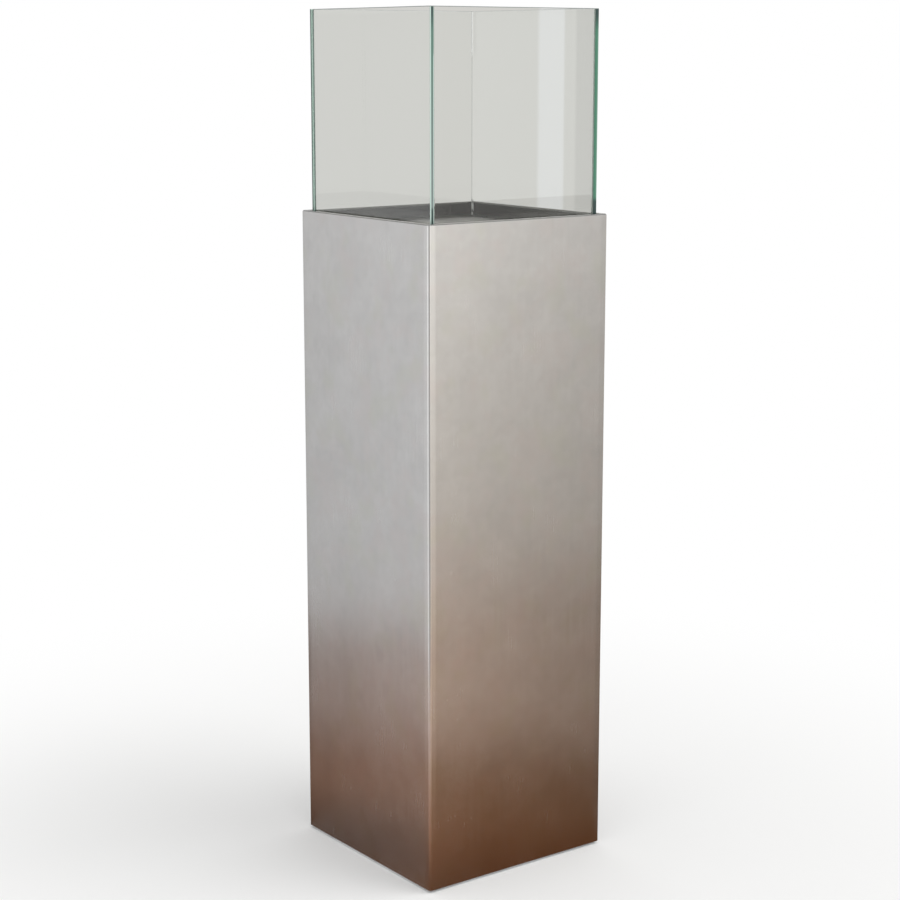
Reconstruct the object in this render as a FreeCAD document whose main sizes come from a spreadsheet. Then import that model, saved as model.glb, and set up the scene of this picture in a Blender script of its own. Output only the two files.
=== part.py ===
"""Candle lantern: a floor column of folded sheet steel with a glass box standing in its top.

Millimetres, +Z up. The origin is on the floor under the middle of the column, the front is -Y.
"""

import FreeCAD, Part
import math
import os

import Sketcher
from FreeCAD import Placement, Rotation, Vector

# Driving dimensions: alias, size, meaning
SIZES = (
    ("body_width", 250.0, "outside width of the square column"),
    ("shell_height", 750.0, "lower edge of the column to its rim"),
    ("shell_clearance", 3.0, "floor to the lower edge of the column"),
    ("sheet_thickness", 1.0, "sheet of the column"),
    ("corner_bend", 3.0, "outside radius of the upright bends"),
    ("rim_bend", 2.0, "outside radius of the two folds of the rim"),
    ("ledge_width", 7.0, "outside face of the column to the face of the lip"),
    ("lip_gap", 2.5, "lower edge of the lip to the floor of the tray"),
    ("seam_gap", 0.4, "joint line where the folded sheet closes"),
    ("seam_strip_width", 40.0, "strip behind the seam, across"),
    ("seam_strip_sheet", 1.0, "strip behind the seam, thickness"),
    ("seam_strip_end_gap", 5.0, "end of the strip to the angles above and below it"),
    ("tray_depth", 18.0, "rim to the floor of the tray"),
    ("tray_sheet", 1.0, "sheet of the tray"),
    ("tray_bend", 2.0, "outside radius between the floor and the walls of the tray"),
    ("tray_fit", 0.3, "lip to the wall of the tray behind it"),
    ("tray_top_gap", 0.5, "top of the tray wall to the fold of the rim"),
    ("glass_clearance", 2.0, "lip to the glass"),
    ("glass_thickness", 5.0, "thickness of a pane"),
    ("glass_height", 243.0, "height of a pane"),
    ("glass_arris", 0.5, "ground edge of a pane"),
    ("bond_gap", 0.3, "glue seam in the corners of the glass box"),
    ("pad_thickness", 2.0, "pad under the glass, height"),
    ("pad_length", 20.0, "pad under the glass, along the pane"),
    ("pad_end_gap", 6.0, "end of the pane to the pad"),
    ("angle_leg", 20.0, "leg of the tray and base angles"),
    ("angle_sheet", 1.5, "sheet of the tray and base angles"),
    ("angle_bend", 3.0, "outside bend of the tray and base angles"),
    ("angle_end_gap", 14.0, "end of an angle to the leg of the next one"),
    ("base_plate_thickness", 2.0, "plate that closes the column from below"),
    ("base_plate_gap", 0.5, "edge of the base plate to the column"),
    ("base_screw_inset", 11.0, "inside face of the column to a base screw"),
    ("base_screw_length", 8.0, "shank of a base screw"),
    ("foot_diameter", 32.0, "diameter of a foot"),
    ("foot_height", 12.0, "floor to the base plate"),
    ("foot_edge", 1.5, "bevel of the foot at the floor"),
    ("foot_inset", 40.0, "outside face of the column to the middle of a foot"),
    ("foot_bore_depth", 6.0, "how deep the screw head is sunk in the foot"),
    ("foot_bore_gap", 1.5, "screw head to the wall of its bore"),
    ("screw_diameter", 4.0, "shank of every screw"),
    ("screw_head_diameter", 8.0, "head of every screw"),
    ("screw_head_height", 2.6, "height of every screw head"),
    ("screw_end", 1.0, "foot screw beyond its nut"),
    ("hole_clearance", 0.3, "hole diameter over the shank"),
    ("nut_width", 7.0, "nut across its flats"),
    ("nut_height", 3.2, "height of a nut"),
)

# Places worked out from the driving dimensions, as expressions on the sheet
HALF_BODY = "(Sizes.body_width / 2)"
INSIDE_HALF = "(Sizes.body_width / 2 - Sizes.sheet_thickness)"
MOUTH_HALF = "(Sizes.body_width / 2 - Sizes.ledge_width)"
LIP_BACK_HALF = f"({MOUTH_HALF} + Sizes.sheet_thickness)"
RIM = "(Sizes.shell_clearance + Sizes.shell_height)"
LIP_DEPTH = "(Sizes.tray_depth - Sizes.lip_gap)"
TRAY_FLOOR = f"({RIM} - Sizes.tray_depth)"
TRAY_UNDERSIDE = f"({TRAY_FLOOR} - Sizes.tray_sheet)"
TRAY_HEIGHT = "(Sizes.tray_depth + Sizes.tray_sheet - Sizes.rim_bend - Sizes.tray_top_gap)"
TRAY_INSIDE_HALF = f"({LIP_BACK_HALF} + Sizes.tray_fit)"
GLASS_HALF = f"({MOUTH_HALF} - Sizes.glass_clearance)"
PANE_CENTRE = f"({GLASS_HALF} - Sizes.glass_thickness / 2)"
GLASS_BOTTOM = f"({TRAY_FLOOR} + Sizes.pad_thickness)"
BONDED_HALF = f"({GLASS_HALF} - Sizes.glass_thickness)"
BOND_WIDTH = "(Sizes.glass_thickness - 2 * Sizes.glass_arris)"
PLATE_TOP = "(Sizes.foot_height + Sizes.base_plate_thickness)"
FOOT_HALF = "(Sizes.body_width / 2 - Sizes.foot_inset)"
BASE_SCREW_HALF = f"({INSIDE_HALF} - Sizes.base_screw_inset)"
HOLE_RADIUS = "((Sizes.screw_diameter + Sizes.hole_clearance) / 2)"
HEAD_RADIUS = "(Sizes.screw_head_diameter / 2)"
ANGLE_LENGTH = f"(2 * ({INSIDE_HALF} - Sizes.angle_leg - Sizes.angle_end_gap))"

# The four walls: name, quarter turn from the front, direction outwards
WALLS = (
    ("front", 0, 0, -1),
    ("right", 90, 1, 0),
    ("rear", 180, 0, 1),
    ("left", 270, -1, 0),
)

# The four corners: name, direction outwards
CORNERS = (
    ("front_left", -1, -1),
    ("front_right", 1, -1),
    ("rear_right", 1, 1),
    ("rear_left", -1, 1),
)

UP = Vector(0, 0, 1)
NEAR = 1e-4

doc = FreeCAD.newDocument("candle_lantern")
sheet = doc.addObject("Spreadsheet::Sheet", "Sizes")
nodes = []


def fill_sheet():
    for row, (alias, size, meaning) in enumerate(SIZES, start=1):
        sheet.set(f"A{row}", meaning)
        sheet.set(f"B{row}", str(size))
        sheet.setAlias(f"B{row}", alias)
    doc.recompute()


def number(expression):
    return float(sheet.evalExpression(expression))


def place(item, x="0", y="0", z="0", turn=0, upside_down=False):
    rotation = Rotation(UP, turn)
    if upside_down:
        rotation = rotation.multiply(Rotation(Vector(0, 1, 0), 180))
    item.Placement = Placement(Vector(), rotation)
    for axis, expression in zip("xyz", (x, y, z)):
        item.setExpression(f"Placement.Base.{axis}", expression)


def new_node(kind, label):
    item = doc.addObject(kind, label)
    item.Label = label
    nodes.append(item)
    return item


# Sketches

def new_sketch(body, name, plane="XY_Plane", height="0"):
    sketch = body.newObject("Sketcher::SketchObject", name)
    support = next(item for item in body.Origin.OriginFeatures if item.Role == plane)
    sketch.AttachmentSupport = [(support, "")]
    sketch.MapMode = "FlatFace"
    sketch.setExpression("AttachmentOffset.Base.z", height)
    return sketch


def drive(sketch, name, expression, *geometry):
    """Add a dimension of the sketch that follows an expression."""
    kind = name.rsplit("_", 1)[-1]
    index = sketch.addConstraint(Sketcher.Constraint(kind, *geometry, number(expression)))
    sketch.renameConstraint(index, name)
    sketch.setExpression(f"Constraints.{name}", expression)


def tie(sketch, kind, *geometry):
    sketch.addConstraint(Sketcher.Constraint(kind, *geometry))


def rounded_square(sketch, half, radius):
    """Square with round corners, centred on the origin of the sketch."""
    reach = number(half)
    bend = number(radius)
    straight = reach - bend
    first = sketch.GeometryCount
    for quarter in range(4):
        turn = Rotation(UP, 90 * quarter)
        start = turn.multVec(Vector(-straight, -reach, 0))
        end = turn.multVec(Vector(straight, -reach, 0))
        circle = Part.Circle(turn.multVec(Vector(straight, -straight, 0)), UP, bend)
        begins = math.radians(90 * quarter - 90)
        sketch.addGeometry(Part.LineSegment(start, end))
        sketch.addGeometry(Part.ArcOfCircle(circle, begins, begins + math.pi / 2))
    lines = [first + 2 * quarter for quarter in range(4)]
    arcs = [line + 1 for line in lines]
    for quarter in range(4):
        tie(sketch, "Tangent", lines[quarter], 2, arcs[quarter], 1)
        tie(sketch, "Tangent", arcs[quarter], 2, lines[(quarter + 1) % 4], 1)
        tie(sketch, "Vertical" if quarter % 2 else "Horizontal", lines[quarter])
    for arc in arcs[1:]:
        tie(sketch, "Equal", arcs[0], arc)
    tie(sketch, "Equal", lines[0], lines[1])
    tie(sketch, "Symmetric", arcs[0], 3, arcs[2], 3, -1, 1)
    drive(sketch, f"corner{first}_Radius", radius, arcs[0])
    drive(sketch, f"across{first}_DistanceY", f"2 * {half}", lines[0], 1, lines[2], 1)


def rectangle_loop(sketch, left, right, low, high):
    corners = (Vector(left, low, 0), Vector(right, low, 0), Vector(right, high, 0), Vector(left, high, 0))
    first = sketch.GeometryCount
    for index, corner in enumerate(corners):
        sketch.addGeometry(Part.LineSegment(corner, corners[(index + 1) % 4]))
    for index in range(4):
        tie(sketch, "Coincident", first + index, 2, first + (index + 1) % 4, 1)
        tie(sketch, "Vertical" if index % 2 else "Horizontal", first + index)
    return first


def centred_rectangle(sketch, length, width):
    across = number(length) / 2
    along = number(width) / 2
    low = rectangle_loop(sketch, -across, across, -along, along)
    tie(sketch, "Symmetric", low, 1, low + 2, 1, -1, 1)
    drive(sketch, "length_DistanceX", length, low, 1, low, 2)
    drive(sketch, "width_DistanceY", width, low + 1, 1, low + 1, 2)


def slot_across(sketch, width, near, far):
    """Rectangle about the upright axis of the sketch, from near to far along it."""
    half = number(width) / 2
    low = rectangle_loop(sketch, -half, half, number(near), number(far))
    drive(sketch, "width_DistanceX", width, low, 1, low, 2)
    drive(sketch, "half_DistanceX", f"{width} / 2", -1, 1, low, 2)
    drive(sketch, "near_DistanceY", near, -1, 1, low, 1)
    drive(sketch, "far_DistanceY", far, -1, 1, low + 2, 1)


def pin(sketch, geometry, point, x, y):
    """Hold a point of the sketch at two expressions, neither below zero."""
    if x == "0":
        tie(sketch, "PointOnObject", geometry, point, -2)
    else:
        drive(sketch, f"x{geometry}_DistanceX", x, -1, 1, geometry, point)
    if y == "0":
        tie(sketch, "PointOnObject", geometry, point, -1)
    else:
        drive(sketch, f"y{geometry}_DistanceY", y, -1, 1, geometry, point)


def outline(sketch, points):
    """Closed outline through points in the first quarter, each a pair of expressions."""
    places = [Vector(number(x), number(y), 0) for x, y in points]
    count = len(places)
    for index in range(count):
        sketch.addGeometry(Part.LineSegment(places[index], places[(index + 1) % count]))
    for index in range(count):
        tie(sketch, "Coincident", index, 2, (index + 1) % count, 1)
    for index, (x, y) in enumerate(points):
        pin(sketch, index, 1, x, y)


def screw_hole(sketch, x, y):
    centre = Vector(number(x), number(y), 0)
    circle = sketch.addGeometry(Part.Circle(centre, UP, number(HOLE_RADIUS)))
    pin(sketch, circle, 3, x, y)
    drive(sketch, "hole_Radius", HOLE_RADIUS, circle)


# Features

def pad(body, sketch, length, symmetric=False):
    feature = body.newObject("PartDesign::Pad", f"{sketch.Name}_pad")
    feature.Profile = sketch
    feature.SideType = "Symmetric" if symmetric else "One side"
    feature.setExpression("Length", length)
    doc.recompute()
    return feature


def pocket(body, sketch, length, upwards):
    """Cut the sketch out of the body, and make sure that the cut took something away."""
    before = body.Shape.Volume
    feature = body.newObject("PartDesign::Pocket", f"{sketch.Name}_pocket")
    feature.Profile = sketch
    feature.Reversed = upwards
    feature.setExpression("Length", length)
    doc.recompute()
    if not body.Shape.Volume < before:
        raise RuntimeError(f"{feature.Name} cuts nothing")
    return feature


def four_times(body, feature):
    """Repeat a feature at each quarter turn about the upright axis of the body."""
    pattern = body.newObject("PartDesign::PolarPattern", f"{feature.Name}_pattern")
    pattern.Originals = [feature]
    pattern.Axis = (feature.Profile[0], ["N_Axis"])
    pattern.Angle = 360
    pattern.Occurrences = 4
    body.Tip = pattern
    doc.recompute()


def soften(body, kind, size_name, size, wanted):
    """Fillet or chamfer the edges of the body's last feature that are wanted."""
    base = body.Tip
    edges = enumerate(base.Shape.Edges, start=1)
    names = [f"Edge{index}" for index, edge in edges if wanted(edge.BoundBox)]
    if not names:
        raise RuntimeError(f"no edge found on {body.Label}")
    feature = body.newObject(f"PartDesign::{kind}", f"{base.Name}_{kind.lower()}")
    feature.Base = (base, names)
    feature.setExpression(size_name, size)
    doc.recompute()


def fillet(body, radius, wanted):
    soften(body, "Fillet", "Radius", radius, wanted)


def level_loop(height, half=HALF_BODY):
    """Test for edges that lie at one height, no further out than half."""
    level = number(height)
    limit = number(half) + NEAR

    def wanted(box):
        flat = abs(box.ZMin - level) < NEAR and abs(box.ZMax - level) < NEAR
        return flat and max(box.XMax, box.YMax, -box.XMin, -box.YMin) < limit

    return wanted


# Column

def column_shell():
    """Wrap of sheet: four walls, a ledge folded inwards at the top and a lip folded down from it.

    The upright bends are round. The ledge and the lip meet in mitres in the corners.
    """
    body = new_node("PartDesign::Body", "column_shell")
    outside = new_sketch(body, "shell_outside")
    rounded_square(outside, HALF_BODY, "Sizes.corner_bend")
    pad(body, outside, "Sizes.shell_height")
    fillet(body, "Sizes.rim_bend", level_loop("Sizes.shell_height"))

    under_ledge = "(Sizes.shell_height - Sizes.sheet_thickness)"
    inner_fold = "(Sizes.rim_bend - Sizes.sheet_thickness)"
    inside = new_sketch(body, "shell_inside")
    rounded_square(inside, INSIDE_HALF, "(Sizes.corner_bend - Sizes.sheet_thickness)")
    pocket(body, inside, under_ledge, upwards=True)
    fillet(body, inner_fold, level_loop(under_ledge))

    lip = new_sketch(body, "shell_lip", height=f"Sizes.shell_height - {LIP_DEPTH}")
    centred_rectangle(lip, f"2 * {LIP_BACK_HALF}", f"2 * {LIP_BACK_HALF}")
    pad(body, lip, LIP_DEPTH)
    mouth = new_sketch(body, "shell_mouth", height="Sizes.shell_height")
    centred_rectangle(mouth, f"2 * {MOUTH_HALF}", f"2 * {MOUTH_HALF}")
    pocket(body, mouth, LIP_DEPTH, upwards=False)
    fillet(body, "Sizes.rim_bend", level_loop("Sizes.shell_height", MOUTH_HALF))
    fillet(body, inner_fold, level_loop(under_ledge, LIP_BACK_HALF))

    before_lip = f"({MOUTH_HALF} - Sizes.ledge_width)"
    behind_wall = f"({HALF_BODY} + Sizes.ledge_width)"
    seam = new_sketch(body, "shell_seam")
    slot_across(seam, "Sizes.seam_gap", before_lip, behind_wall)
    pocket(body, seam, "Sizes.shell_height", upwards=True)
    place(body, z="Sizes.shell_clearance")


def shell_seam_strip():
    """Flat strip behind the seam, between the base angle and the tray angle of the rear wall."""
    low = f"({PLATE_TOP} + Sizes.angle_leg + Sizes.seam_strip_end_gap)"
    high = f"({TRAY_UNDERSIDE} - Sizes.angle_leg - Sizes.seam_strip_end_gap)"
    strip = new_node("Part::Box", "shell_seam_strip")
    strip.setExpression("Length", "Sizes.seam_strip_width")
    strip.setExpression("Width", "Sizes.seam_strip_sheet")
    strip.setExpression("Height", f"{high} - {low}")
    place(strip, "-Sizes.seam_strip_width / 2", f"{INSIDE_HALF} - Sizes.seam_strip_sheet", low)


def wall_angle(label, screwed):
    """Angle bracket in its own frame: back against the wall at y = 0, seat at z = 0, along x."""
    body = new_node("PartDesign::Body", label)
    leg = "Sizes.angle_leg"
    sheet_size = "Sizes.angle_sheet"
    profile = new_sketch(body, f"{label}_profile", plane="YZ_Plane")
    outline(profile, (
        ("0", "0"), (leg, "0"), (leg, sheet_size), (sheet_size, sheet_size), (sheet_size, leg), ("0", leg),
    ))
    pad(body, profile, ANGLE_LENGTH, symmetric=True)

    def bend_edge(place_of_bend):
        at = number(place_of_bend)
        return lambda box: max(abs(v - at) for v in (box.YMin, box.YMax, box.ZMin, box.ZMax)) < NEAR

    fillet(body, "Sizes.angle_bend", bend_edge("0"))
    fillet(body, "Sizes.angle_bend - Sizes.angle_sheet", bend_edge(sheet_size))
    if screwed:
        drilled = new_sketch(body, f"{label}_hole")
        screw_hole(drilled, "0", "Sizes.base_screw_inset")
        pocket(body, drilled, sheet_size, upwards=True)
    return body


def wall_angles():
    """Under the tray the seat is on top, and over the base plate it is underneath."""
    for wall, turn, out_x, out_y in WALLS:
        x = f"{out_x} * {INSIDE_HALF}"
        y = f"{out_y} * {INSIDE_HALF}"
        place(wall_angle(f"tray_angle_{wall}", screwed=False), x, y, TRAY_UNDERSIDE, turn, upside_down=True)
        place(wall_angle(f"base_angle_{wall}", screwed=True), x, y, PLATE_TOP, turn)


def candle_tray():
    """Shallow folded pan with its walls behind the lip and its floor below the rim."""
    body = new_node("PartDesign::Body", "candle_tray")
    outside_width = f"(2 * ({TRAY_INSIDE_HALF} + Sizes.tray_sheet))"
    inside_width = f"(2 * {TRAY_INSIDE_HALF})"
    outside = new_sketch(body, "tray_outside")
    centred_rectangle(outside, outside_width, outside_width)
    pad(body, outside, TRAY_HEIGHT)
    fillet(body, "Sizes.tray_bend", level_loop("0"))
    inside = new_sketch(body, "tray_inside", height=TRAY_HEIGHT)
    centred_rectangle(inside, inside_width, inside_width)
    pocket(body, inside, f"{TRAY_HEIGHT} - Sizes.tray_sheet", upwards=False)
    fillet(body, "Sizes.tray_bend - Sizes.tray_sheet", level_loop("Sizes.tray_sheet"))
    place(body, z=TRAY_UNDERSIDE)


# Glass box

def pane(label, length):
    """Pane with ground edges, along x in its own frame."""
    body = new_node("PartDesign::Body", label)
    plan = new_sketch(body, f"{label}_plan")
    centred_rectangle(plan, length, "Sizes.glass_thickness")
    pad(body, plan, "Sizes.glass_height")
    soften(body, "Chamfer", "Size", "Sizes.glass_arris", lambda box: True)
    return body


def glass_box():
    """The side panes run through, and the front and rear panes are bonded in between them."""
    for wall, turn, out_x, out_y in WALLS:
        runs_through = out_x != 0
        half_length = GLASS_HALF if runs_through else f"({BONDED_HALF} - Sizes.bond_gap)"
        body = pane(f"glass_{wall}", f"2 * {half_length}")
        place(body, f"{out_x} * {PANE_CENTRE}", f"{out_y} * {PANE_CENTRE}", GLASS_BOTTOM, turn)


def corner_bonds():
    for corner, out_x, out_y in CORNERS:
        bond = new_node("Part::Box", f"bond_{corner}")
        bond.setExpression("Length", "Sizes.bond_gap")
        bond.setExpression("Width", BOND_WIDTH)
        bond.setExpression("Height", "Sizes.glass_height - 2 * Sizes.glass_arris")
        place(
            bond,
            f"{out_x} * ({BONDED_HALF} - Sizes.bond_gap / 2) - Sizes.bond_gap / 2",
            f"{out_y} * {PANE_CENTRE} - {BOND_WIDTH} / 2",
            f"{GLASS_BOTTOM} + Sizes.glass_arris",
        )


def glass_pads():
    """Thin pads on the tray, under both ends of the side panes."""
    pads = []
    pad_half = f"({GLASS_HALF} - Sizes.pad_end_gap - Sizes.pad_length / 2)"
    for corner, out_x, out_y in CORNERS:
        strip = doc.addObject("Part::Box", f"pad_{corner}")
        strip.setExpression("Length", BOND_WIDTH)
        strip.setExpression("Width", "Sizes.pad_length")
        strip.setExpression("Height", "Sizes.pad_thickness")
        x = f"{out_x} * {PANE_CENTRE} - {BOND_WIDTH} / 2"
        place(strip, x, f"{out_y} * {pad_half} - Sizes.pad_length / 2", TRAY_FLOOR)
        pads.append(strip)
    new_node("Part::Compound", "glass_pads").Links = pads


# Base

def base_plate():
    body = new_node("PartDesign::Body", "base_plate")
    plan = new_sketch(body, "plate_plan")
    rounded_square(plan, f"({INSIDE_HALF} - Sizes.base_plate_gap)", "Sizes.corner_bend")
    pad(body, plan, "Sizes.base_plate_thickness")
    for use, x, y in (("edge", "0", BASE_SCREW_HALF), ("foot", FOOT_HALF, FOOT_HALF)):
        drilled = new_sketch(body, f"plate_{use}_hole")
        screw_hole(drilled, x, y)
        four_times(body, pocket(body, drilled, "Sizes.base_plate_thickness", upwards=True))
    place(body, z="Sizes.foot_height")


def foot(label):
    """Turned rubber foot: bevelled at the floor, with a bore that takes the screw head."""
    body = new_node("PartDesign::Body", label)
    radius = "(Sizes.foot_diameter / 2)"
    bore_radius = f"({HEAD_RADIUS} + Sizes.foot_bore_gap)"
    section = new_sketch(body, f"{label}_section", plane="XZ_Plane")
    outline(section, (
        (bore_radius, "0"),
        (f"{radius} - Sizes.foot_edge", "0"),
        (radius, "Sizes.foot_edge"),
        (radius, "Sizes.foot_height"),
        (HOLE_RADIUS, "Sizes.foot_height"),
        (HOLE_RADIUS, "Sizes.foot_bore_depth"),
        (bore_radius, "Sizes.foot_bore_depth"),
    ))
    turned = body.newObject("PartDesign::Revolution", f"{label}_turned")
    turned.Profile = section
    turned.ReferenceAxis = (section, ["V_Axis"])
    turned.Angle = 360
    doc.recompute()
    return body


def feet():
    for corner, out_x, out_y in CORNERS:
        place(foot(f"foot_{corner}"), f"{out_x} * {FOOT_HALF}", f"{out_y} * {FOOT_HALF}")


# Fasteners

def screw(name, x, y, seat, length):
    """Screw pointing up: its head hangs below the seat and its shank rises from it."""
    head = doc.addObject("Part::Cylinder", f"{name}_head")
    head.setExpression("Radius", HEAD_RADIUS)
    head.setExpression("Height", "Sizes.screw_head_height")
    place(head, x, y, f"{seat} - Sizes.screw_head_height")
    shank = doc.addObject("Part::Cylinder", f"{name}_shank")
    shank.setExpression("Radius", "Sizes.screw_diameter / 2")
    shank.setExpression("Height", length)
    place(shank, x, y, seat)
    whole = doc.addObject("Part::Fuse", name)
    whole.Base = head
    whole.Tool = shank
    return whole


def base_plate_screws():
    """One screw in the middle of each wall, through the plate into the angle."""
    screws = []
    for wall, turn, out_x, out_y in WALLS:
        x = f"{out_x} * {BASE_SCREW_HALF}"
        y = f"{out_y} * {BASE_SCREW_HALF}"
        screws.append(screw(f"base_screw_{wall}", x, y, "Sizes.foot_height", "Sizes.base_screw_length"))
    new_node("Part::Compound", "base_plate_screws").Links = screws


def foot_fasteners():
    """A screw up through each foot and the plate, with a nut on the plate."""
    screws = []
    nuts = []
    shank_top = f"({PLATE_TOP} + Sizes.nut_height + Sizes.screw_end)"
    for corner, out_x, out_y in CORNERS:
        x = f"{out_x} * {FOOT_HALF}"
        y = f"{out_y} * {FOOT_HALF}"
        length = f"{shank_top} - Sizes.foot_bore_depth"
        screws.append(screw(f"foot_screw_{corner}", x, y, "Sizes.foot_bore_depth", length))
        hexagon = doc.addObject("Part::Prism", f"nut_hexagon_{corner}")
        hexagon.Polygon = 6
        hexagon.setExpression("Circumradius", "Sizes.nut_width / 2 / cos(30 deg)")
        hexagon.setExpression("Height", "Sizes.nut_height")
        place(hexagon, x, y, PLATE_TOP)
        bore = doc.addObject("Part::Cylinder", f"nut_bore_{corner}")
        bore.setExpression("Radius", HOLE_RADIUS)
        bore.setExpression("Height", "Sizes.nut_height")
        place(bore, x, y, PLATE_TOP)
        nut = doc.addObject("Part::Cut", f"nut_{corner}")
        nut.Base = hexagon
        nut.Tool = bore
        nuts.append(nut)
    new_node("Part::Compound", "foot_screws").Links = screws
    new_node("Part::Compound", "foot_nuts").Links = nuts


def check_model():
    for item in doc.Objects:
        if "Invalid" in item.State or "Error" in item.State:
            raise RuntimeError(f"{item.Label} did not build: {item.State}")
        if item.isDerivedFrom("Sketcher::SketchObject") and not item.FullyConstrained:
            raise RuntimeError(f"{item.Label} is not fully constrained")
    for node in nodes:
        if node.Shape.isNull() or not node.Shape.isValid() or not node.Shape.Solids:
            raise RuntimeError(f"{node.Label} has no valid solid")


def write_parts():
    os.makedirs("parts", exist_ok=True)
    for node in nodes:
        node.Shape.exportStep(os.path.join("parts", f"{node.Label}.step"))


fill_sheet()
column_shell()
shell_seam_strip()
wall_angles()
candle_tray()
glass_box()
corner_bonds()
glass_pads()
base_plate()
feet()
base_plate_screws()
foot_fasteners()
doc.recompute()
check_model()
write_parts()
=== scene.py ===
import math

import bmesh
import bpy
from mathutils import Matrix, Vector


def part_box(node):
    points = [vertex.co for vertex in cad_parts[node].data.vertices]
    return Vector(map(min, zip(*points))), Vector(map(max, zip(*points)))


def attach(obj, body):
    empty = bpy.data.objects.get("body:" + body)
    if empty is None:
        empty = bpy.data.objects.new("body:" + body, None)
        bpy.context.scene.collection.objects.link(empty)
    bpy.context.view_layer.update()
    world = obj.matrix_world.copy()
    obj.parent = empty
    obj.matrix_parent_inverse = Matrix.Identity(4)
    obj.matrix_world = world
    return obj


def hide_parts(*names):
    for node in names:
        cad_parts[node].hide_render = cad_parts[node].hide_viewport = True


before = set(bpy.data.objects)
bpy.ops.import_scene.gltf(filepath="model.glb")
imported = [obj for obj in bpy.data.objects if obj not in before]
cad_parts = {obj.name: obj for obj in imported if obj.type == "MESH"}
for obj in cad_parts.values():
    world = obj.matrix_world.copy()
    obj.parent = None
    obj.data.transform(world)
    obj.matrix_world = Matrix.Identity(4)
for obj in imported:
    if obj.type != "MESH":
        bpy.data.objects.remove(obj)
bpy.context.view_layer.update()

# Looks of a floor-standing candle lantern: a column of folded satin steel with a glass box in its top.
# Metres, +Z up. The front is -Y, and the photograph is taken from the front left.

# Places that the finishes follow, from the frame
HALF_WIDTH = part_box("column_shell")[1].x
GLASS_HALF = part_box("glass_left")[1].y
GLASS_INSIDE = -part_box("glass_left")[1].x
GLASS_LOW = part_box("glass_left")[0].z
GLASS_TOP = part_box("glass_left")[1].z
TRAY_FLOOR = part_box("glass_pads")[0].z

# Steel and rubber
GLASS_ROOM = 0.002
MOUTH_HALF = GLASS_HALF + GLASS_ROOM
RIM_BEND = 0.002
CORNER_BEND = 0.003
BOWED_EDGE = 0.010
BOW_DEPTH = 0.0005
WALL_FACE = (HALF_WIDTH - 0.004, HALF_WIDTH - 0.002)
LEDGE = (HALF_WIDTH - 0.006, HALF_WIDTH - 0.003)
# Run along which the painted shade inside the mouth deepens towards the rear right corner
REAR_RIGHT_SHADE = (-0.08, 0.22)
TRAY_FILM = (TRAY_FLOOR + 0.0003, TRAY_FLOOR + 0.0015)
DUSTY_FOOT = 0.006

# Glass and glue
GROUND_EDGE = 0.0005
ARRIS_HIGHLIGHT_WIDTH = 0.0011
EDGE_FOOT = (GLASS_LOW + 0.029, GLASS_LOW + 0.035)
EDGE_HEAD = (GLASS_TOP - 0.03, GLASS_TOP - 0.004)
EDGE_RISE = (GLASS_LOW + 0.063, GLASS_TOP - 0.02)
EDGE_ACROSS = (GLASS_INSIDE + 0.002, GLASS_HALF - 0.0005)
FRONT_EDGE_WIDTH = 0.0025
DARK_LINE_WIDTH = 0.0031
PALE_LINE_END = 0.0055
DEEP_GREEN = (0.055, 0.21, 0.13, 1)
GLUE_GAP = 0.0003
GLUE_SKIN = 0.00003
GLUE_HOLLOW = 0.0001
GLUE_HEAD = (GLASS_TOP - 0.06, GLASS_TOP - 0.04)
DARKER_HEAD_BAND = (GLASS_TOP - 0.055, GLASS_TOP - 0.045)
CORNER_GLINT_WIDTH = 0.0018
CORNER_GLINT_TOP = (GLASS_LOW + 0.012, GLASS_LOW + 0.02)
GLUE_GLINT_TOP = (GLASS_LOW + 0.016, GLASS_LOW + 0.022)

# Screws
HEAD_RADIUS = 0.004
HEAD_HEIGHT = 0.0026
SHANK_RADIUS = 0.002
THREAD_DEPTH = 0.0003
THREAD_PITCH = 0.0007
CROSS_REACH = 0.0023
CROSS_CORNER = math.radians(9)
CROSS_DEPTH = 0.0015
CROSS_BOTTOM = 0.4
SCREW_SIDES = 40

# The photograph's view
VIEW_AZIMUTH = math.radians(-36.57)
VIEW_ELEVATION = math.radians(10.78)
VIEW_DISTANCE = 2.341
VIEW_HEIGHT = 0.4968
VIEW_ASIDE = -0.0033
SENSOR_WIDTH = 36.0
LENS = 80.29
VIEW_SHIFT = -0.02

# The studio
FLOOR_REACH = 15.0
FLOOR_OPENING = HALF_WIDTH - 0.006
FLOOR_PALE = (0.90, 0.90, 0.895, 1)
FLOOR_GREY = (0.55, 0.54, 0.53, 1)
SHADOW_REACH = (0.45, 1.1)
AMBIENT = 0.9
LAMP_STRENGTH = 0.7
LAMP_SPREAD = math.radians(40)
LAMP_FROM = Vector((0.55, -0.6, 1.15))
ROOM_CENTRE = Vector((0.37, 0.03, 0.0))
ROOM_RADIUS = 1.28
ROOM_HEIGHT = 2.4
ROOM_SIDES = 96
DIM_TOWARDS = (0.84, 0.62)
DIM_START = 0.1
DIM_LIMITS = (-0.35, 0.2)
WALL_RISE = (-0.1, 1.5)
WALL_ACROSS = (-0.5, 0.5)
WALL_TOP = (0.9, 1.3)
WINDOW_START = (-0.65, -0.5)
WINDOW_END = (-0.3, -0.15)
WINDOW_SIDE = (-0.5, -0.3)
DARK_FRONT = (-0.9, -0.7)
DARK_FRONT_HALF = (0.1, 0.4)
BACKDROP_FOOT = (0.0, 0.5)
BACKDROP_LEFT = (-0.95, -0.8)
BACKDROP_REAR = (0.6, 0.7)
STRIP_START = (0.158, 0.168)
STRIP_END = (0.209, 0.214)
SHADED_RIGHT = (0.230, 0.237)
ROOM_FLOOR_HEIGHT = 0.0005
FLOOR_ACROSS = (-0.3, 0.3)
FLOOR_NEAR = (0.12, 0.36)
FLOOR_FAR = (0.36, 0.74)
RIB_SPACING = 0.002
RIB_HEIGHTS = (0.0017, 0.0010, 0.0015, 0.0017)  # front, right, rear, left
RIB_COUNT = 760

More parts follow.
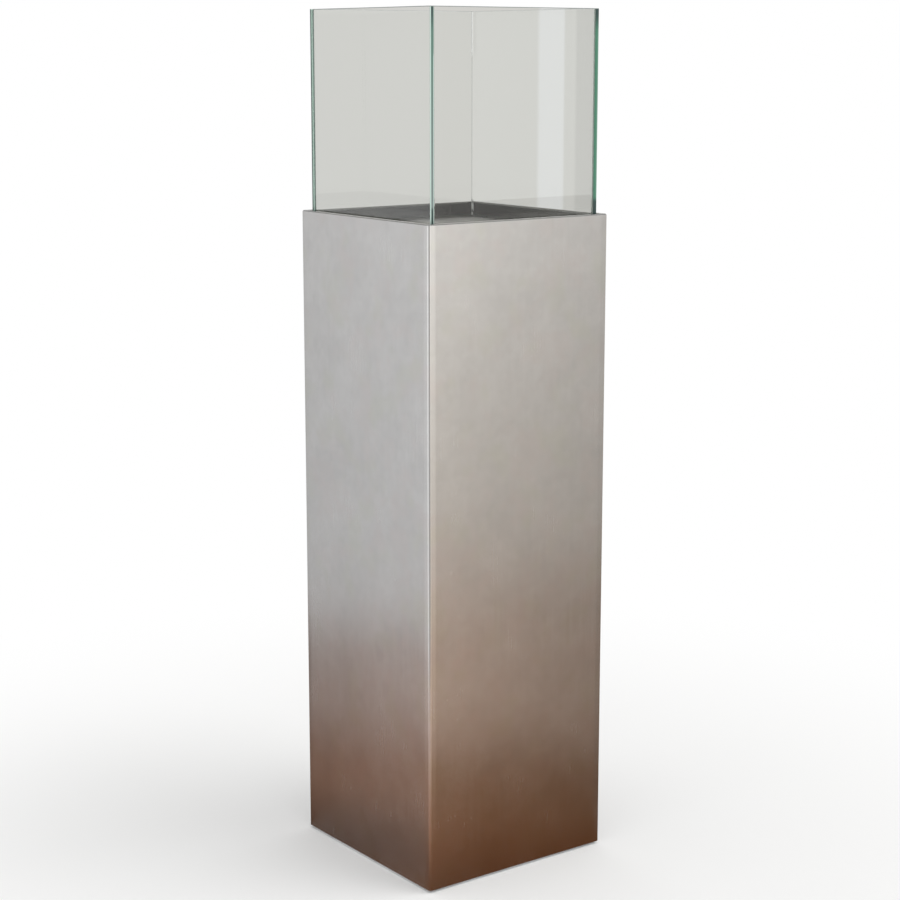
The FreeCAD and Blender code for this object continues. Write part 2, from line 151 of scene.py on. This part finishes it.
WHITE = (1, 1, 1, 1)


class Value:
    """A shader socket. Arithmetic on it adds Math nodes."""

    def __init__(self, finish, socket):
        self.finish = finish
        self.socket = socket

    def maths(self, operation, *values):
        return self.finish.node("ShaderNodeMath", {"operation": operation}, dict(enumerate(values)))

    def __add__(self, other):
        return self.maths("ADD", self, other)

    def __radd__(self, other):
        return self.maths("ADD", other, self)

    def __sub__(self, other):
        return self.maths("SUBTRACT", self, other)

    def __rsub__(self, other):
        return self.maths("SUBTRACT", other, self)

    def __mul__(self, other):
        return self.maths("MULTIPLY", self, other)

    def __rmul__(self, other):
        return self.maths("MULTIPLY", other, self)

    def __pow__(self, other):
        return self.maths("POWER", self, other)

    def __rpow__(self, other):
        return self.maths("POWER", other, self)

    def __gt__(self, other):
        return self.maths("GREATER_THAN", self, other)

    def __lt__(self, other):
        return self.maths("LESS_THAN", self, other)

    def __abs__(self):
        return self.maths("ABSOLUTE", self)

    def larger(self, other):
        return self.maths("MAXIMUM", self, other)

    def smaller(self, other):
        return self.maths("MINIMUM", self, other)

    def rise(self, start, end):
        """0 up to start, 1 from end on, and smooth in between."""
        inputs = {"Value": self, "From Min": start, "From Max": end}
        return self.finish.node("ShaderNodeMapRange", {"interpolation_type": "SMOOTHSTEP"}, inputs)


class Finish:
    """A tree of shader nodes, of a material or of the world."""

    def __init__(self, tree):
        self.tree = tree
        tree.nodes.clear()

    def node(self, kind, settings=None, inputs=None, output=0):
        """Adds one node: its settings come first, then the values or links of its sockets."""
        made = self.tree.nodes.new(kind)
        for name, value in (settings or {}).items():
            setattr(made, name, value)
        for name, value in (inputs or {}).items():
            if isinstance(value, Value):
                self.tree.links.new(value.socket, made.inputs[name])
            else:
                made.inputs[name].default_value = value
        return Value(self, made.outputs[output]) if made.outputs else None

    def place(self):
        """The point of the surface in the object's frame, and its three coordinates."""
        point = self.node("ShaderNodeTexCoord", output="Object")
        return point, [self.node("ShaderNodeSeparateXYZ", {}, {0: point}, axis) for axis in "XYZ"]

    def vector(self, x, y, z):
        return self.node("ShaderNodeCombineXYZ", {}, {"X": x, "Y": y, "Z": z})

    def noise(self, point, scale, detail=2.0, roughness=0.5):
        inputs = {"Vector": point, "Scale": scale, "Detail": detail, "Roughness": roughness}
        return self.node("ShaderNodeTexNoise", {}, inputs)

    def blend(self, share, first, second):
        """Colour that goes from first to second."""
        return self.node("ShaderNodeMix", {"data_type": "RGBA"}, {0: share, 6: first, 7: second}, 2)

    def bump(self, height, strength, distance):
        inputs = {"Height": height, "Strength": strength, "Distance": distance}
        return self.node("ShaderNodeBump", {}, inputs)

    def seen(self):
        """1 for what the camera sees, directly, in gloss or through glass."""
        rays = ("Is Camera Ray", "Is Glossy Ray", "Is Transmission Ray")
        camera, gloss, through = [self.node("ShaderNodeLightPath", output=ray) for ray in rays]
        return camera.larger(gloss).larger(through)

    def surface(self, **sockets):
        """Principled surface; a socket's name has _ for each space."""
        inputs = {name.replace("_", " "): value for name, value in sockets.items()}
        return self.node("ShaderNodeBsdfPrincipled", {}, inputs)

    def glow(self, colour, strength):
        """Light of a colour, made stronger or weaker."""
        shade = self.node("ShaderNodeVectorMath", {"operation": "SCALE"}, {0: colour, "Scale": strength})
        return self.node("ShaderNodeEmission", {}, {"Color": shade})

    def end(self, surface):
        self.node("ShaderNodeOutputMaterial", {}, {"Surface": surface})


def new_finish(name):
    material = bpy.data.materials.new(name)
    material.use_nodes = True
    return material, Finish(material.node_tree)


# Finishes of the object

def satin_steel(name, dark, light, roughness, mouth_shade_depth):
    """Stainless sheet with fine brush lines that run up each wall and over the folds of the rim.

    Each wall bows a little beside its bends. Handling has left faint rose and olive patches. The
    fold of the rim is tinted a darker olive as a painted reflection, and the inside of the mouth
    is darkened with painted shade, most of all in its rear right corner.
    """
    material, finish = new_finish(name)
    point, (x, y, z) = finish.place()
    beside = abs(x) > abs(y)
    across = beside * y + (1 - beside) * x
    outwards = abs(x).larger(abs(y))
    aside = abs(x).smaller(abs(y))
    along = z - outwards
    hair = finish.noise(finish.vector(across * 700, along * 9, beside * 7), 1.0, 1.0)
    streak = finish.noise(finish.vector(across * 170, along * 1.6, beside * 5), 1.0, 2.0)
    mottle = finish.noise(point, 75.0, 3.0, 0.6)
    cloud = finish.noise(point, 16.0, 4.0, 0.55)
    smudge = finish.noise(point, 28.0, 3.0, 0.6).rise(0.45, 0.7)
    olive = finish.noise(point, 23.0, 2.0).rise(0.5, 0.72)
    bend = aside.rise(HALF_WIDTH - CORNER_BEND, HALF_WIDTH)
    bow = aside.rise(HALF_WIDTH - BOWED_EDGE, HALF_WIDTH) * outwards.rise(*WALL_FACE)
    mouth_shade = 1 - outwards.rise(MOUTH_HALF, MOUTH_HALF + RIM_BEND)
    rear_right_shade = (x + y).rise(*REAR_RIGHT_SHADE)
    rim_fold = outwards.rise(MOUTH_HALF, MOUTH_HALF + RIM_BEND / 2) * (1 - outwards.rise(*LEDGE))
    rough = roughness + (hair - 0.5) * 0.06 + (streak - 0.5) * 0.03 + (cloud - 0.5) * 0.08 - bend * 0.06
    patches = mottle.rise(0.3, 0.7) * 0.22 + cloud.rise(0.25, 0.75) * 0.48
    clean = finish.blend(patches + streak * 0.15 + hair * 0.15, dark, light)
    clean = finish.blend(smudge * 0.5, clean, (0.645, 0.605, 0.59, 1))
    clean = finish.blend(olive * 0.4, clean, (0.61, 0.615, 0.55, 1))
    # Painted reflection: the fold of the rim is tinted a darker olive, after the olive line the ledge
    # reflects
    clean = finish.blend(rim_fold * 0.6, clean, (0.50, 0.49, 0.40, 1))
    # Painted shade: the inside of the mouth goes towards near black, deeper in its rear right corner
    tone = finish.blend(mouth_shade * (mouth_shade_depth + rear_right_shade * 0.15), clean, (0.10, 0.098, 0.090, 1))
    relief = finish.bump(hair * 0.006 - bow, 1.0, BOW_DEPTH)
    return material, finish, tone, rough, relief


def column_steel():
    dark = (0.58, 0.572, 0.562, 1)
    light = (0.68, 0.672, 0.662, 1)
    material, finish, tone, rough, relief = satin_steel("satin_column_steel", dark, light, 0.25, 0.75)
    finish.end(finish.surface(Base_Color=tone, Metallic=1.0, Roughness=rough, Normal=relief))
    return material


def tray_steel():
    """The same sheet, with a dull film of dust and wax on the floor of the tray."""
    dark = (0.50, 0.50, 0.49, 1)
    light = (0.60, 0.60, 0.585, 1)
    material, finish, tone, rough, relief = satin_steel("satin_tray_steel", dark, light, 0.34, 0.5)
    point, (_, _, z) = finish.place()
    floor = 1 - z.rise(*TRAY_FILM)
    film = finish.noise(point, 30.0, 5.0, 0.65).rise(0.3, 0.7) * 0.4 + 0.6
    tone = finish.blend(floor * film, tone, (0.56, 0.55, 0.53, 1))
    metal = 1 - floor * film * 0.6
    rough = rough + floor * 0.2
    finish.end(finish.surface(Base_Color=tone, Metallic=metal, Roughness=rough, Normal=relief))
    return material


def plated_sheet():
    """Zinc plate: small crystals of slightly different greys."""
    material, finish = new_finish("zinc_plated_sheet")
    point, _ = finish.place()
    crystal = finish.node("ShaderNodeTexVoronoi", {}, {"Vector": point, "Scale": 190.0}, "Color")
    shade = finish.node("ShaderNodeSeparateColor", {}, {"Color": crystal})
    cloud = finish.noise(point, 14.0, 3.0)
    tone = finish.blend(shade, (0.50, 0.51, 0.53, 1), (0.66, 0.67, 0.69, 1))
    rough = 0.34 + shade * 0.12 + (cloud - 0.5) * 0.16
    grain = finish.bump(shade * 0.3 + cloud, 0.08, 0.0003)
    finish.end(finish.surface(Base_Color=tone, Metallic=1.0, Roughness=rough, Normal=grain))
    return material


def plated_fasteners():
    """Bright zinc on turned and pressed steel."""
    material, finish = new_finish("bright_zinc")
    point, (x, y, z) = finish.place()
    turned = finish.noise(finish.vector(x * 60, y * 60, z * 4000), 1.0, 2.0)
    spot = finish.noise(point, 700.0, 3.0)
    tone = finish.blend(spot, (0.58, 0.59, 0.58, 1), (0.74, 0.745, 0.735, 1))
    rough = 0.24 + turned * 0.12 + spot * 0.10
    grain = finish.bump(turned, 0.15, 0.0001)
    finish.end(finish.surface(Base_Color=tone, Metallic=1.0, Roughness=rough, Normal=grain))
    return material


def clear_glass():
    """Float glass: clear with a few wipe marks, green where its ends show, and painted light and shade
    at its corners.
    """
    material, finish = new_finish("float_glass")
    point, (x, y, z) = finish.place()
    wipe = finish.noise(finish.vector(x * 9 + z * 5, y * 9 - z * 5, z * 2), 1.0, 4.0, 0.6)
    wave = finish.noise(point, 7.0, 1.0)
    clear = finish.surface(
        Base_Color=(0.97, 0.985, 0.975, 1), Roughness=wipe.rise(0.55, 0.8) * 0.03, IOR=1.52,
        Transmission_Weight=1.0, Normal=finish.bump(wave, 0.02, 0.002))
    inside = finish.node("ShaderNodeNewGeometry", output="Backfacing")
    right = x > 0
    outermost = abs(x).larger(abs(y)) > GLASS_HALF - GROUND_EDGE
    end = (abs(y) > GLASS_HALF - GROUND_EDGE * 1.1) * (abs(x) > GLASS_INSIDE - GLUE_GAP / 3)
    glued = (abs(x) > GLASS_INSIDE - GLUE_GAP * 1.3) * (abs(x) < GLASS_INSIDE - GLUE_GAP / 3)
    rear_end = end * inside * (1 - right)
    behind = y > 0
    open_seam = glued * right * behind * z.rise(*GLUE_HEAD)
    front_seam = glued * right * (1 - behind)
    front_edge = front_seam * (y < FRONT_EDGE_WIDTH - GLASS_HALF)
    outer_face = (abs(x) > GLASS_HALF - GROUND_EDGE) * (1 - right) * (1 - inside)
    outer_line = outer_face * (y > GLASS_HALF - DARK_LINE_WIDTH)
    pale_line = outer_face * (y > GLASS_HALF - PALE_LINE_END) * (1 - outer_line)
    rear_face = (abs(x) > GLASS_INSIDE - GLUE_GAP / 3) * (abs(x) < GLASS_INSIDE + GLUE_GAP)
    rear_face = rear_face * (y > GLASS_INSIDE) * (1 - right)
    line = outer_line.larger(rear_face)
    outer_top = (z > GLASS_TOP - GROUND_EDGE * 1.7) * outermost
    top = outer_top.larger(z > GLASS_TOP - GROUND_EDGE * 0.6) * (1 - inside)
    top = top.larger(z > GLASS_TOP - GROUND_EDGE / 5)
    bottom = z < GLASS_LOW + GROUND_EDGE
    depth = finish.noise(finish.vector(x * 300, y * 40, z * 12), 1.0, 2.0)
    # Painted light and shade on the ends: the left pane's ends darken upwards, the right pane's lighten
    # towards the outer face, and all go near black at foot and head
    left_body = finish.blend(z.rise(*EDGE_RISE), (0.19, 0.24, 0.23, 1), (0.10, 0.20, 0.16, 1))
    right_body = finish.blend(x.rise(*EDGE_ACROSS), DEEP_GREEN, (0.17, 0.34, 0.25, 1))
    body = finish.blend(right, left_body, right_body)
    end_lit_middle = z.rise(*EDGE_FOOT) * (1 - z.rise(*EDGE_HEAD))
    body = finish.blend(end_lit_middle * (0.8 + depth * 0.4), (0.025, 0.06, 0.055, 1), body)
    # Painted highlight: light mint bands along the ground arrises of the left pane's ends, turning
    # darker green near the head of the inner one
    inner_band = abs(x) < GLASS_INSIDE + ARRIS_HIGHLIGHT_WIDTH
    ground_arris_highlight = (abs(x) > GLASS_HALF - ARRIS_HIGHLIGHT_WIDTH).larger(inner_band) * (1 - right)
    darker_head_band = inner_band * z.rise(*DARKER_HEAD_BAND)
    tone = finish.blend(ground_arris_highlight, body, finish.blend(darker_head_band, (0.58, 0.74, 0.67, 1), (0.24, 0.38, 0.31, 1)))
    tone = finish.blend(top, tone, (0.27, 0.30, 0.285, 1))
    # Painted shade: the pane bottoms, down in the tray, are painted near black
    tone = finish.blend(bottom, tone, (0.07, 0.085, 0.08, 1))
    # Painted light and shade: ends and glued faces seen from inside the glass, the front right seam, and
    # a dark and a pale line by the rear left corner take greens standing in for light refracted and
    # piped through the corners
    tone = finish.blend(glued.larger(end * inside), tone, (0.72, 0.84, 0.78, 1))
    tone = finish.blend(rear_end, tone, (0.80, 1.0, 0.89, 1))
    tone = finish.blend(front_seam, tone, (0.62, 0.85, 0.72, 1))
    tone = finish.blend(front_edge, tone, DEEP_GREEN)
    tone = finish.blend(outer_line, tone, (0.08, 0.13, 0.115, 1))
    tone = finish.blend(pale_line, tone, (0.57, 0.80, 0.68, 1))
    tone = finish.blend(rear_face, tone, (0.18, 0.31, 0.26, 1))
    # Painted glint: white at the foot of the corners on the inner faces, for glue run down there and its
    # glint
    drop = finish.noise(finish.vector(x * 250, y * 250, z * 220), 1.0, 1.0).rise(0.42, 0.48)
    corner = x.smaller(y) > GLASS_INSIDE - CORNER_GLINT_WIDTH
    run = corner * (1 - outermost) * (1 - inside) * drop * (1 - z.rise(*CORNER_GLINT_TOP))
    tone = finish.blend(run, tone, (0.95, 0.97, 0.96, 1))
    clearness = 0.96 - rear_end * 0.76 - front_seam * 0.66 - front_edge * 0.3
    solid = 1 - glued.larger(end * inside) * (1 - line) * clearness
    green = finish.surface(Base_Color=tone, Roughness=0.2 + depth * 0.2, IOR=1.52, Alpha=solid)
    share = (end.larger(glued) - open_seam).larger(top).larger(bottom)
    share = share.larger(line * 0.95).larger(pale_line * 0.6).larger(run)
    finish.end(finish.node("ShaderNodeMixShader", {}, {0: share, 1: clear, 2: green}))
    return material


def clear_glue():
    """Cured glue: clear with faint bubbles, and painted white where it has run down to the foot, as its
    glint.
    """
    material, finish = new_finish("clear_glue_seam")
    point, (_, _, z) = finish.place()
    bubble = finish.noise(point, 420.0, 2.0)
    # Painted glint: the foot of each seam is made white and opaque
    foot = 1 - z.rise(*GLUE_GLINT_TOP)
    milky_and_glint = bubble.rise(0.45, 0.8) * 0.06 + foot * bubble.rise(0.3, 0.6) * 0.8
    cured = finish.blend(bubble, (0.66, 0.78, 0.72, 1), (0.84, 0.90, 0.87, 1))
    tone = finish.blend(foot, cured, WHITE)
    rough = 0.15 + bubble.rise(0.5, 0.75) * 0.25
    finish.end(finish.surface(Base_Color=tone, Roughness=rough, IOR=1.5, Alpha=0.02 + milky_and_glint))
    return material


def pad_silicone():
    """Translucent silicone, a little dusty."""
    material, finish = new_finish("translucent_silicone")
    point, _ = finish.place()
    dust = finish.noise(point, 260.0, 4.0, 0.65)
    tone = finish.blend(dust, (0.72, 0.74, 0.73, 1), (0.84, 0.855, 0.845, 1))
    rough = 0.38 + dust * 0.25
    skin = finish.bump(dust, 0.1, 0.0002)
    finish.end(finish.surface(Base_Color=tone, Roughness=rough, Transmission_Weight=0.85, Normal=skin))
    return material


def foot_rubber():
    """Matt black rubber, greyed by dust towards the floor."""
    material, finish = new_finish("black_rubber")
    point, (_, _, z) = finish.place()
    grain = finish.noise(point, 900.0, 3.0)
    patch = finish.noise(point, 60.0, 4.0, 0.6)
    dust = (1 - z.rise(0.0, DUSTY_FOOT)) * patch
    tone = finish.blend(dust * 0.5 + grain * 0.1, (0.014, 0.014, 0.015, 1), (0.16, 0.155, 0.145, 1))
    rough = 0.66 + grain * 0.16 + patch * 0.1
    skin = finish.bump(grain, 0.3, 0.0002)
    finish.end(finish.surface(Base_Color=tone, Roughness=rough, Normal=skin))
    return material


def make_finishes():
    """One finish for each material slot of the frame, under the slot's name."""
    makers = (
        column_steel, tray_steel, plated_sheet, plated_fasteners,
        clear_glass, clear_glue, pad_silicone, foot_rubber)
    return {maker.__name__: maker() for maker in makers}


def dress_nodes():
    """Every piece of the frame gets the finish of its material slot."""
    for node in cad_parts.values():
        for slot in node.material_slots:
            slot.material = finishes[slot.material.name]


# Pieces that are finer here than in the frame

def new_object(name, mesh_maker):
    mesh = bpy.data.meshes.new(name)
    shape = bmesh.new()
    mesh_maker(shape)
    shape.to_mesh(mesh)
    shape.free()
    made = bpy.data.objects.new(name, mesh)
    bpy.context.scene.collection.objects.link(made)
    return made


def finer_piece(name, node, body, slot, mesh_maker):
    """A piece that stands for a node of the frame, in the node's place."""
    piece = new_object(name, mesh_maker)
    piece.data.materials.append(finishes[slot])
    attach(piece, body)
    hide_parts(node)


def glue_beads():
    """A seam of glue in each corner of the glass box, drawn in a little along its open edges."""
    for corner in ("front_left", "front_right", "rear_right", "rear_left"):
        low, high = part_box(f"bond_{corner}")

        def bead(shape):
            left = low.x + GLUE_SKIN
            right = high.x - GLUE_SKIN
            middle = (left + right) / 2
            section = (
                (left, low.y), (middle, low.y + GLUE_HOLLOW), (right, low.y),
                (right, high.y), (middle, high.y - GLUE_HOLLOW), (left, high.y))
            sweep(shape, [[Vector((x, y, z)) for x, y in section] for z in (low.z, high.z)])

        finer_piece(f"glue_bead_{corner}", f"bond_{corner}", "glass", "clear_glue", bead)


def screws():
    """Pan-head screws with a cross recess, in the middle of each wall and in each foot."""
    walls = ((0, -1), (1, 0), (0, 1), (-1, 0))
    corners = ((-1, -1), (1, -1), (1, 1), (-1, 1))
    groups = (
        ("base_cross_screws", "base_plate_screws", walls),
        ("foot_cross_screws", "foot_screws", corners))
    for name, node, places in groups:
        low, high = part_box(node)
        reach = high.x - HEAD_RADIUS

        def group(shape):
            for x, y in places:
                cross_screw(shape, Vector((x * reach, y * reach, low.z)), high.z - low.z)

        finer_piece(name, node, "column", "plated_fasteners", group)


def cross_screw(shape, foot, height):
    """One screw, head down: rings from the bottom of its recess, round the head and up the shank."""
    rings = [cross_ring(CROSS_BOTTOM, CROSS_DEPTH), cross_ring(1.0, 0)]
    head = ((0.74, 0), (0.87, 0.08), (0.96, 0.25), (1.0, 0.5), (1.0, 1.0))
    rings += [round_ring(HEAD_RADIUS * out, HEAD_HEIGHT * up) for out, up in head]
    ridges = int((height - HEAD_HEIGHT) / THREAD_PITCH)
    for k in range(ridges):
        groove = HEAD_HEIGHT + THREAD_PITCH * k
        rings.append(round_ring(SHANK_RADIUS - THREAD_DEPTH, groove))
        rings.append(round_ring(SHANK_RADIUS, groove + THREAD_PITCH / 2))
    rings.append(round_ring(SHANK_RADIUS - THREAD_DEPTH, height))
    sweep(shape, [[foot + corner for corner in ring] for ring in rings])


def round_ring(radius, height):
    turns = [2 * math.pi * k / SCREW_SIDES for k in range(SCREW_SIDES)]
    return [Vector((radius * math.cos(t), radius * math.sin(t), height)) for t in turns]


def cross_ring(size, height):
    """Outline of a cross: four straight arms, each CROSS_CORNER to both sides of its middle."""
    ring = round_ring(size, height)
    for k, corner in enumerate(ring):
        turn = 2 * math.pi * k / SCREW_SIDES
        off = abs((turn + math.pi / 4) % (math.pi / 2) - math.pi / 4)
        reach = CROSS_REACH / math.cos(off)
        if off > CROSS_CORNER:
            reach = CROSS_REACH * math.tan(CROSS_CORNER) / math.sin(off)
        corner.xy *= reach
    return ring


def sweep(shape, rings):
    """Closed skin over rings of as many corners each, with flat ends."""
    loops = [[shape.verts.new(corner) for corner in ring] for ring in rings]
    for lower, upper in zip(loops, loops[1:]):
        for k in range(len(lower)):
            after = (k + 1) % len(lower)
            shape.faces.new((lower[k], lower[after], upper[after], upper[k]))
    shape.faces.new(loops[0][::-1])
    shape.faces.new(loops[-1])


# The studio

def pale_floor():
    """Pale floor that keeps the shadow and turns into the white backdrop further out."""
    def square(shape):
        bmesh.ops.create_grid(shape, x_segments=1, y_segments=1, size=FLOOR_REACH)

    material, finish = new_finish("pale_floor")
    _, (x, y, _) = finish.place()
    away = from_middle(x, y)
    lit = finish.node("ShaderNodeBsdfDiffuse", {}, {"Color": FLOOR_PALE})
    white = finish.node("ShaderNodeEmission", {}, {"Color": WHITE})
    share = away.rise(*SHADOW_REACH) * finish.seen()
    pale = finish.node("ShaderNodeMixShader", {}, {0: share, 1: lit, 2: white})
    open_below(finish, pale, x, y)
    floor = new_object("floor", square)
    floor.data.materials.append(material)


def open_below(finish, surface, x, y):
    """A floor is open under the column and from below, so that light and views reach the base."""
    clear = finish.node("ShaderNodeBsdfTransparent", {}, {"Color": WHITE})
    under = abs(x).larger(abs(y)) < FLOOR_OPENING
    share = under.larger(finish.node("ShaderNodeNewGeometry", output="Backfacing"))
    finish.end(finish.node("ShaderNodeMixShader", {}, {0: share, 1: surface, 2: clear}))


def room_wall():
    """Soft wall that only gloss shows: warm on the right, a plain grey with a window on the left.

    It is darker straight in front, and it dims above the column.
    """
    material, finish = new_finish("room_wall")
    _, (x, y, z) = finish.place()
    away, aside = view_run(x, y)
    height = z.rise(*WALL_RISE)
    side = aside.rise(*WALL_ACROSS)
    left = finish.blend(height, (0.642, 0.647, 0.657, 1), (0.89, 0.89, 0.895, 1))
    right = finish.blend(height, (0.595, 0.552, 0.50, 1), (1.32, 1.32, 1.31, 1))
    tone = finish.blend(side, left, right)
    window = away.rise(*WINDOW_START) * (1 - away.rise(*WINDOW_END)) * (1 - aside.rise(*WINDOW_SIDE))
    dark_front = (1 - away.rise(*DARK_FRONT)) * (1 - abs(aside).rise(*DARK_FRONT_HALF))
    upper = z.rise(*WALL_TOP)
    strength = 1 - (0.5 + side * 0.7) * dimming(x, y) + window * 0.75
    finish.end(finish.glow(tone, strength * (1 - dark_front * 0.6) * (1 - upper * 0.55)))
    wall = new_object("room_wall", room_tube)
    wall.data.materials.append(material)
    show_only(wall, gloss=True, through=False)


def glass_backdrop():
    """Grey wall that only glass shows, with a white foot and a lighter strip right of the middle.

    It is lighter on the far left and a little darker to the right of the strip.
    """
    material, finish = new_finish("glass_backdrop")
    _, (x, y, z) = finish.place()
    away, aside = view_run(x, y)
    strip = aside.rise(*STRIP_START) * (1 - aside.rise(*STRIP_END))
    behind = away.rise(*BACKDROP_REAR)
    tone = finish.blend(z.rise(*BACKDROP_FOOT), WHITE, (0.635, 0.618, 0.595, 1))
    tone = finish.blend(strip * behind, tone, (0.745, 0.735, 0.735, 1))
    tone = finish.blend(aside.rise(*BACKDROP_LEFT), (0.90, 0.90, 0.90, 1), tone)
    finish.end(finish.glow(tone, 1 - aside.rise(*SHADED_RIGHT) * behind * 0.125))
    wall = new_object("glass_backdrop", room_tube)
    wall.data.materials.append(material)
    show_only(wall, gloss=False, through=True)


def room_tube(shape):
    ring = [shape.verts.new(ROOM_CENTRE + corner) for corner in room_ring()]
    top = [shape.verts.new(vert.co + Vector((0, 0, ROOM_HEIGHT))) for vert in ring]
    for k in range(ROOM_SIDES):
        after = (k + 1) % ROOM_SIDES
        shape.faces.new((ring[k], ring[after], top[after], top[k]))
    shape.faces.new(top)


def room_floor():
    """Warm wood ribs on a grey floor, which only gloss shows: they brown the lower part of the column.

    From low down the ribs hide the floor behind them, and from above it shows between them.
    """
    def ribbed(shape):
        height = Vector((0, 0, ROOM_FLOOR_HEIGHT))
        shape.faces.new([shape.verts.new(ROOM_CENTRE + corner + height) for corner in room_ring()])
        for k in range(RIB_COUNT):
            out = HALF_WIDTH + RIB_SPACING * (k + 0.5)
            corners = [Vector((x * out, y * out, 0)) for x, y in ((-1, -1), (1, -1), (1, 1), (-1, 1))]
            for first, second, rise in zip(corners, corners[1:] + corners[:1], RIB_HEIGHTS):
                top = height + Vector((0, 0, rise))
                skin = (first + top, second + top, second, first)
                shape.faces.new([shape.verts.new(corner) for corner in skin])

    material, finish = new_finish("room_floor")
    _, (x, y, z) = finish.place()
    reach = from_middle(x, y)
    _, aside = view_run(x, y)
    side = aside.rise(*FLOOR_ACROSS)
    near = finish.blend(side, (0.066, 0.032, 0.019, 1), (0.152, 0.044, 0.003, 1))
    middle = finish.blend(side, (0.252, 0.134, 0.086, 1), (0.205, 0.096, 0.044, 1))
    far = finish.blend(side, (0.41, 0.317, 0.28, 1), (0.46, 0.335, 0.262, 1))
    tone = finish.blend(reach.rise(*FLOOR_NEAR), near, middle)
    tone = finish.blend(reach.rise(*FLOOR_FAR), tone, far)
    tone = finish.blend(z > ROOM_FLOOR_HEIGHT * 1.2, FLOOR_GREY, tone)
    open_below(finish, finish.glow(tone, 1 - 2.0 * dimming(x, y)), x, y)
    warm = new_object("room_floor", ribbed)
    warm.data.materials.append(material)
    show_only(warm, gloss=True, through=False)


def from_middle(x, y):
    return (x * x + y * y) ** 0.5


def view_run(x, y):
    """How far a place lies behind the column and to its right, as seen in the photograph."""
    ahead = math.cos(VIEW_AZIMUTH)
    beside = math.sin(VIEW_AZIMUTH)
    return y * ahead - x * beside, x * ahead + y * beside


def dimming(x, y):
    """The room is lightest in front of the near upright bend and dims to the right and to the rear."""
    least, most = DIM_LIMITS
    return (x * DIM_TOWARDS[0] + y * DIM_TOWARDS[1] + DIM_START).smaller(most).larger(least)


def room_ring():
    turns = [2 * math.pi * k / ROOM_SIDES for k in range(ROOM_SIDES)]
    return [Vector((ROOM_RADIUS * math.cos(t), ROOM_RADIUS * math.sin(t), 0)) for t in turns]


def show_only(card, gloss, through):
    card.visible_camera = False
    card.visible_diffuse = False
    card.visible_shadow = False
    card.visible_volume_scatter = False
    card.visible_glossy = gloss
    card.visible_transmission = through


def white_world():
    world = bpy.data.worlds.new("white_studio")
    world.use_nodes = True
    finish = Finish(world.node_tree)
    seen = finish.seen()
    strength = seen + (1 - seen) * AMBIENT
    sky = finish.node("ShaderNodeBackground", {}, {"Color": WHITE, "Strength": strength})
    finish.node("ShaderNodeOutputWorld", {}, {"Surface": sky})
    bpy.context.scene.world = world


def soft_lamp():
    lamp = bpy.data.lights.new("soft_lamp", "SUN")
    lamp.energy = LAMP_STRENGTH
    lamp.angle = LAMP_SPREAD
    holder = bpy.data.objects.new("soft_lamp", lamp)
    holder.rotation_euler = LAMP_FROM.to_track_quat("Z", "Y").to_euler()
    holder.visible_glossy = False
    bpy.context.scene.collection.objects.link(holder)


def photograph_camera():
    camera = bpy.data.cameras.new("camera")
    camera.sensor_width = SENSOR_WIDTH
    camera.lens = LENS
    camera.shift_y = VIEW_SHIFT
    sideways = Vector((math.cos(VIEW_AZIMUTH), math.sin(VIEW_AZIMUTH), 0))
    backwards = Vector((
        math.sin(VIEW_AZIMUTH) * math.cos(VIEW_ELEVATION),
        -math.cos(VIEW_AZIMUTH) * math.cos(VIEW_ELEVATION),
        math.sin(VIEW_ELEVATION)))
    holder = bpy.data.objects.new("camera", camera)
    holder.location = sideways * VIEW_ASIDE + backwards * VIEW_DISTANCE + Vector((0, 0, VIEW_HEIGHT))
    holder.rotation_euler = (math.pi / 2 - VIEW_ELEVATION, 0, VIEW_AZIMUTH)
    bpy.context.scene.collection.objects.link(holder)
    bpy.context.scene.camera = holder


finishes = make_finishes()
dress_nodes()
glue_beads()
screws()
pale_floor()
room_wall()
glass_backdrop()
room_floor()
white_world()
soft_lamp()
photograph_camera()
bpy.context.scene.view_settings.view_transform = "Standard"
